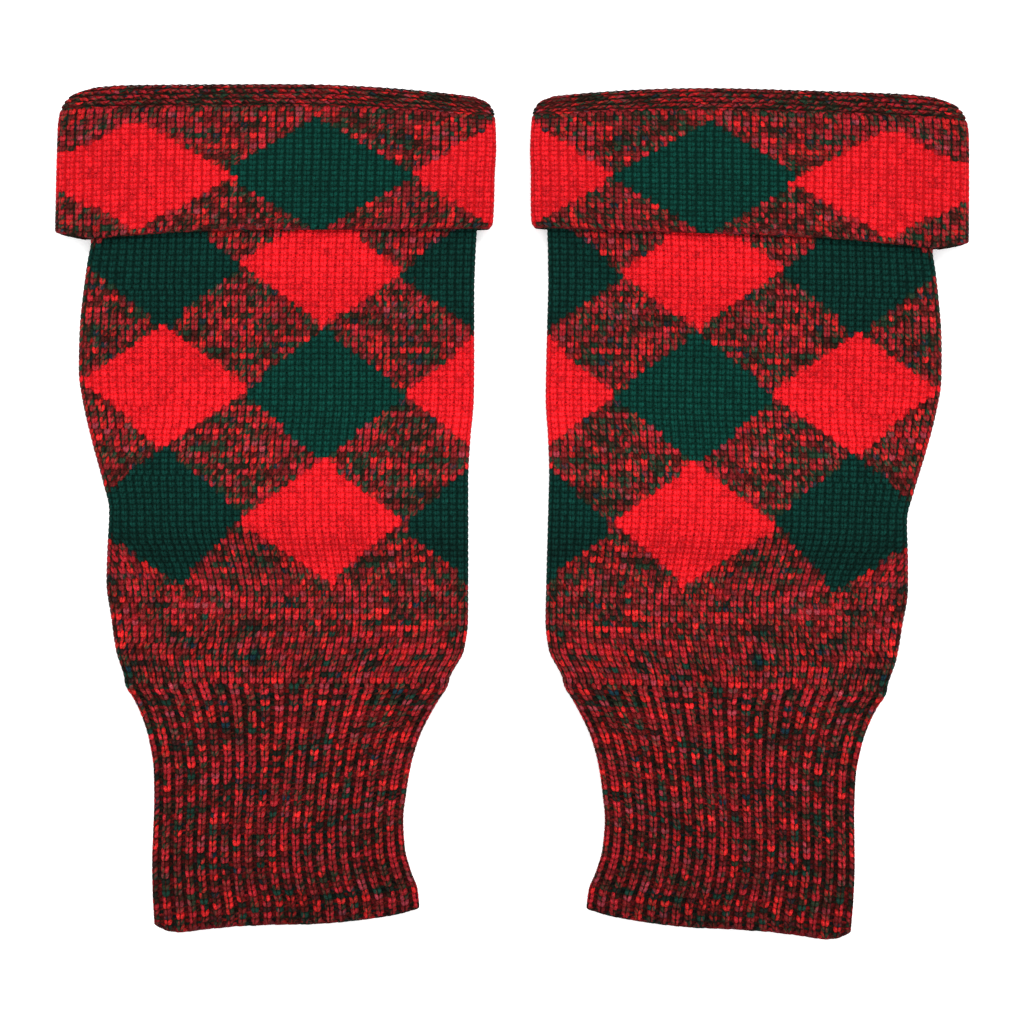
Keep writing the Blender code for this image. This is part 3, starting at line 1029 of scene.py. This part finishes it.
def knit(side, stretch_name, stretch, kinds, dyed_of, seed):
    """All the stitches of a stretch, on its front and on its back."""
    made = []
    for facing, face, form in ((1, "front", FINE_PETAL), (-1, "back", PLAIN_PETAL)):
        rng = np.random.default_rng(seed + (facing < 0))
        petals, dyes, begun = [], [], 0
        for kind in kinds:
            kind_petals = kind.petals_of(rng, kind.stitches)
            petals.append(kind_petals._replace(stitch=kind_petals.stitch + begun))
            dyed = dyed_of(rng, kind.stitches)
            dyes.append(dyed._replace(first=dyed.first * kind.shade, second=dyed.second * kind.shade))
            begun += len(kind.stitches.wale)
        stitches = joined([kind.stitches for kind in kinds])
        name = f"{side}_{stretch_name}_knit_{face}"
        made.append(
            yarn_object(name, side, stretch, stitches, joined(petals), form, facing, joined(dyes), rng)
        )
    return made


def build_cuff(side):
    hem = CUFF_HEM + FOLD_LEAD
    seam = -(CUFF_SEAM_DOWN - SEAM_GAP + FOLD_LEAD)
    outer_rows = np.linspace(hem, seam, CUFF_RINGS[0])
    inner_rows = np.linspace(seam, hem, CUFF_RINGS[1])
    shell = shell_object(side + "_cuff_cloth", side, CUFF, outer_rows, inner_rows, CUFF_COLUMNS, cuff_ground)
    rim = rim_stitches(CUFF, CUFF_WALES, 1.0, hem - RIM_ROWS_UP * CUFF_ROW, CUFF_ROW)
    kinds = (
        Kind(cuff_rows(hem, PURL_BAND), v_petals, 1.0),
        Kind(cuff_rows(PURL_BAND, CUFF_TURNED_IN), purl_petals, 1.0),
        Kind(rim, rim_petals, RIM_PAINTED_SHADE),
    )
    return shell, knit(side, "cuff", CUFF, kinds, cuff_dye, CUFF_SEED)


def build_leg(side):
    rows = np.linspace(CUFF_SEAM_DOWN - SEAM_GAP, RIBBING_DOWN, LEG_RINGS)
    shell = shell_object(side + "_leg_cloth", side, LEG, rows[::-1], rows[::INNER_STEP], LEG_COLUMNS,
                         leg_ground)
    return shell, knit(side, "leg", LEG, (Kind(leg_rows(), v_petals, 1.0),), leg_dye, LEG_SEED)


def build_ribbing(side):
    rows = np.linspace(RIBBING_DOWN, RIBBING_HEM, RIBBING_RINGS)
    columns = RIB_COUNT * RIB_COLUMNS
    shell = shell_object(side + "_ribbing_cloth", side, RIBBING, rows[::-1], rows[::INNER_STEP], columns,
                         ribbing_ground)
    rim = rim_stitches(RIBBING, RIB_COUNT, 0.5, RIBBING_HEM - RIM_ROWS_UP * RIBBING_ROW, RIBBING_ROW)
    kinds = (
        Kind(ribbing_rows(first=0.5, share=0.82), rib_petals, RIB_SHADE),
        Kind(ribbing_rows(first=1.0, share=0.42), bar_petals, VALLEY_PAINTED_SHADE),
        Kind(rim, rim_petals, RIM_PAINTED_SHADE),
    )
    return shell, knit(side, "ribbing", RIBBING, kinds, ribbing_dye, RIBBING_SEED)


def declare(side, stretch, shell, knitting, flat, area):
    """A stretch's pieces, with its tube's flat size in metres and its area where it isn't a rectangle, which
    are not used.
    """
    for piece in (shell, *knitting):
        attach(piece, "root")
    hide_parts(f"{side}_{stretch}")


def build_hose(side):
    declare(side, "cuff", *build_cuff(side), flat=(0.385, 0.069), area=None)
    declare(side, "leg", *build_leg(side), flat=(0.361, 0.251), area=0.0823)
    declare(side, "ribbing", *build_ribbing(side), flat=(0.279, 0.104), area=0.025)


def build_floor():
    mesh = bpy.data.meshes.new("floor")
    corners = [(x * FLOOR_HALF, y * FLOOR_HALF, FLOOR_LEVEL) for x, y in ((-1, -1), (1, -1), (1, 1), (-1, 1))]
    mesh.from_pydata(corners, [], [(0, 1, 2, 3)])
    mesh.materials.append(plain_material("pale_floor", FLOOR_COLOUR, FLOOR_ROUGHNESS, FLOOR_GLOW))
    floor = bpy.data.objects.new("floor", mesh)
    bpy.context.collection.objects.link(floor)


def build_lights():
    scene = bpy.context.scene
    scene.view_settings.view_transform = "Standard"
    world_light = bpy.data.worlds.new("studio")
    world_light.use_nodes = True
    background = world_light.node_tree.nodes["Background"]
    background.inputs["Color"].default_value = SKY_COLOUR
    background.inputs["Strength"].default_value = SKY_STRENGTH
    scene.world = world_light
    lamp = bpy.data.lights.new("key", "SUN")
    lamp.energy = SUN_STRENGTH
    lamp.angle = math.radians(SUN_WIDTH)
    key = bpy.data.objects.new("key", lamp)
    key.rotation_euler = (math.radians(SUN_TURN[0]), math.radians(SUN_TURN[1]), 0)
    bpy.context.collection.objects.link(key)


def build_camera():
    """Straight above, with a long lens. The picture is as wide as the field at the cloth's level."""
    data = bpy.data.cameras.new("camera")
    data.lens = LENS
    data.sensor_width = SENSOR
    data.clip_end = CAMERA_REACH
    camera = bpy.data.objects.new("camera", data)
    camera.location = (*CAMERA_PLACE, CLOTH_LEVEL + FIELD * LENS / SENSOR)
    bpy.context.collection.objects.link(camera)
    bpy.context.scene.camera = camera


build_floor()
for hose_side in SIDES:
    build_hose(hose_side)
build_lights()
build_camera()
